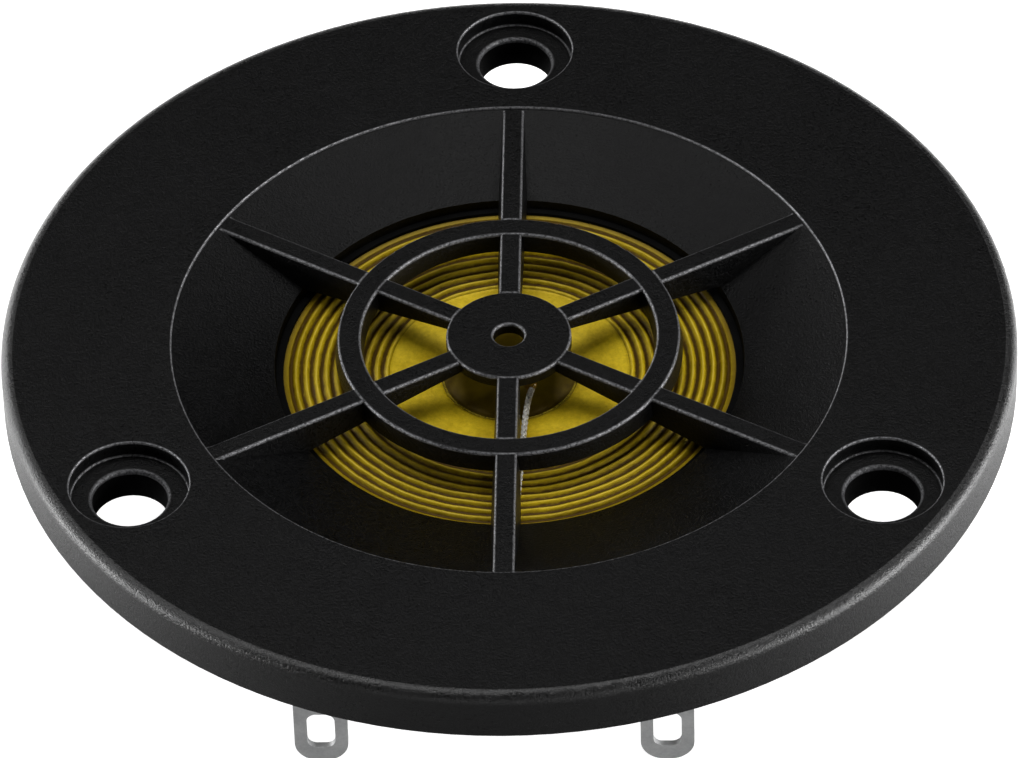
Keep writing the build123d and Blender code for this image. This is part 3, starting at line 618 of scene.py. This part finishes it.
def closeUp(piece):
    # merges the points that share a place, which closes the poles and the tips
    made = bmesh.new()
    made.from_mesh(piece.data)
    bmesh.ops.remove_doubles(made, verts=made.verts, dist=0.5e-6)
    bmesh.ops.dissolve_degenerate(made, edges=made.edges, dist=0.5e-6)
    bmesh.ops.recalc_face_normals(made, faces=made.faces)
    made.to_mesh(piece.data)
    made.free()
    piece.data.polygons.foreach_set("use_smooth", np.ones(len(piece.data.polygons), bool))
    piece.data.update()


domeShape = {"rim": 4.86, "foot": 4.51, "crown": 2.7, "low": -0.3, "rise": 0.4, "steep": 1.48, "bulge": 0.22,
             "thick": 0.1, "around": 160, "ripple": (8, 3.0, 0.8, 0.008, 9)}


def makeDome(p):
    # flat rim, then a wall that rises as low + rise * (steep u - (steep - 1) u^2), then a crown
    # that rises over the wall's top by bulge * (1 - (r / crown)^2); the underside lies thick below
    rim = np.linspace(p["rim"], p["foot"], 4)[:-1]
    wall = np.linspace(p["foot"], p["crown"], 22)[:-1]
    crown = np.linspace(p["crown"], 0, 16)
    u = (p["foot"] - wall) / (p["foot"] - p["crown"])
    height = np.concatenate([np.full(3, p["low"]),
                             p["low"] + p["rise"] * (p["steep"] * u - (p["steep"] - 1) * u ** 2),
                             p["low"] + p["rise"] + p["bulge"] * (1 - (crown / p["crown"]) ** 2)])
    r = np.concatenate([rim, wall, crown])
    r, height = np.concatenate([r[::-1], r]), np.concatenate([height[::-1], height - p["thick"]])
    angle = np.linspace(0, 2 * np.pi, p["around"], endpoint=False)
    x, y = r[:, None] * np.cos(angle), r[:, None] * np.sin(angle)
    fade = np.clip((p["rim"] - r) / 0.4, 0, 1)[:, None]
    points = np.stack([x, y, height[:, None] + ripple(x, y, *p["ripple"]) * fade], -1)
    # the rim's two edges meet in one closed outer face
    dome = gridPiece("domeCap", np.roll(points, -len(r) // 2, axis=0), closeAlong=True)
    closeUp(dome)
    dome.data.materials.append(finishes["dome_film"])
    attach(dome, "moving_coil")
    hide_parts("centre_dome")


makeDome(domeShape)
print("dome made")

leadRoutes = {
    "tinsel_lead_right": [(1.60, -2.27, 0.30), (1.42, -3.51, 0.78), (1.2, -5.39, 0.72), (1.02, -8.40, 0.52),
                          (0.86, -11.61, 0.56), (0.66, -14.60, 0.66), (0.86, -17.4, 0.70), (1.89, -19.4, 0.69),
                          (2.79, -20.85, 0.69), (3.34, -21.20, -0.8), (5.21, -20.95, -1.25), (7.80, -20.02, -1.3),
                          (9.86, -18.88, -1.90), (10.90, -18.10, -3.15), (11.08, -17.90, -4.9)],
    "tinsel_lead_left": [(-0.25, -2.82, 0.30), (-0.3, -4.01, 0.72), (-0.22, -5.79, 0.70), (-0.2, -8.60, 0.52),
                         (-0.3, -11.61, 0.56), (-0.42, -14.60, 0.66), (-0.86, -17.4, 0.70), (-1.89, -19.4, 0.69),
                         (-2.79, -20.85, 0.69), (-3.34, -21.20, -0.8), (-6.03, -20.73, -1.25),
                         (-9.09, -19.76, -1.3), (-11.57, -18.49, -1.90), (-13.10, -17.99, -3.15),
                         (-13.42, -17.90, -4.9)],
}
braid = {"strands": 3, "radius": 0.17, "weave": 0.035, "halfWidth": 0.1, "halfThick": 0.03, "turn": 1.5,
         "core": 0.14, "step": 0.085, "sides": 6, "flexFrom": -17.4, "flexTo": -4.0}


def readRoute(points, step):
    # places along the smooth curve that the points steer, an even step apart, and its length
    curve = bpy.data.curves.new("route", "CURVE")
    curve.dimensions = "3D"
    spline = curve.splines.new("NURBS")
    spline.points.add(len(points) - 1)
    for point, place in zip(spline.points, points):
        point.co = (*place, 1)
    spline.order_u = 3
    spline.use_endpoint_u = True
    spline.resolution_u = 24
    holder = bpy.data.objects.new("route", curve)
    bpy.context.scene.collection.objects.link(holder)
    mesh = bpy.data.meshes.new_from_object(holder)
    line = np.empty(len(mesh.vertices) * 3, np.float32)
    mesh.vertices.foreach_get("co", line)
    line = line.reshape(-1, 3).astype(float)
    bpy.data.objects.remove(holder)
    bpy.data.curves.remove(curve)
    bpy.data.meshes.remove(mesh)
    along = np.concatenate([[0], np.cumsum(np.linalg.norm(np.diff(line, axis=0), axis=1))])
    even = np.linspace(0, along[-1], int(along[-1] / step) + 1)
    return np.stack([np.interp(even, along, line[:, k]) for k in range(3)], 1), even


def strand(centre, side, upward, radius, angle, halfWidth, halfThick, sides):
    # a flattened tube that winds round the centre line at radius and angle; each end closes to a point
    out = side * np.cos(angle)[:, None] + upward * np.sin(angle)[:, None]
    across = upward * np.cos(angle)[:, None] - side * np.sin(angle)[:, None]
    turn = np.linspace(0, 2 * np.pi, sides, endpoint=False)
    close = np.ones(len(centre))
    close[[0, -1]] = 0
    middle = centre + out * radius[:, None]
    return (middle[:, None] + across[:, None] * (halfWidth * np.cos(turn))[:, None] * close[:, None, None]
            + out[:, None] * (halfThick * np.sin(turn))[:, None] * close[:, None, None])


def makeLead(name, route, p):
    # braided tinsel round a core: strands wound both ways, each at radius + or - weave * cos(3 * wind)
    centre, along = readRoute(route, p["step"])
    tangent = np.gradient(centre, axis=0)
    tangent /= np.linalg.norm(tangent, axis=1)[:, None]
    side = np.cross(tangent, (0.6, 0.1, 0.79))
    side /= np.linalg.norm(side, axis=1)[:, None]
    upward = np.cross(side, tangent)
    wind = 2 * np.pi * along / p["turn"]
    tubes = []
    for way in (1, -1):
        for k in range(p["strands"]):
            angle = way * wind + 2 * np.pi * k / p["strands"]
            radius = p["radius"] + way * p["weave"] * np.cos(3 * wind)
            tubes.append(strand(centre, side, upward, radius, angle,
                                p["halfWidth"], p["halfThick"], p["sides"]))
    tubes.append(strand(centre, side, upward, 0 * along, 0 * along, p["core"], p["core"], p["sides"]))
    pieces = [gridPiece(name + "Strand", tube) for tube in tubes]
    made = bmesh.new()
    for piece in pieces:
        made.from_mesh(piece.data)
    for piece in pieces:
        bpy.data.objects.remove(piece)
    mesh = bpy.data.meshes.new(name)
    made.to_mesh(mesh)
    made.free()
    lead = bpy.data.objects.new(name, mesh)
    bpy.context.scene.collection.objects.link(lead)
    closeUp(lead)
    mesh.materials.append(finishes["tinsel"])
    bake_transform(lead)
    return lead, along[-1]


for node, route in leadRoutes.items():
    lead, length = makeLead("braid" + node[6:].title().replace("_", ""), route, braid)
    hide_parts(node)
    print(lead.name, "length", round(length, 1), "mm,", len(lead.data.polygons), "faces")
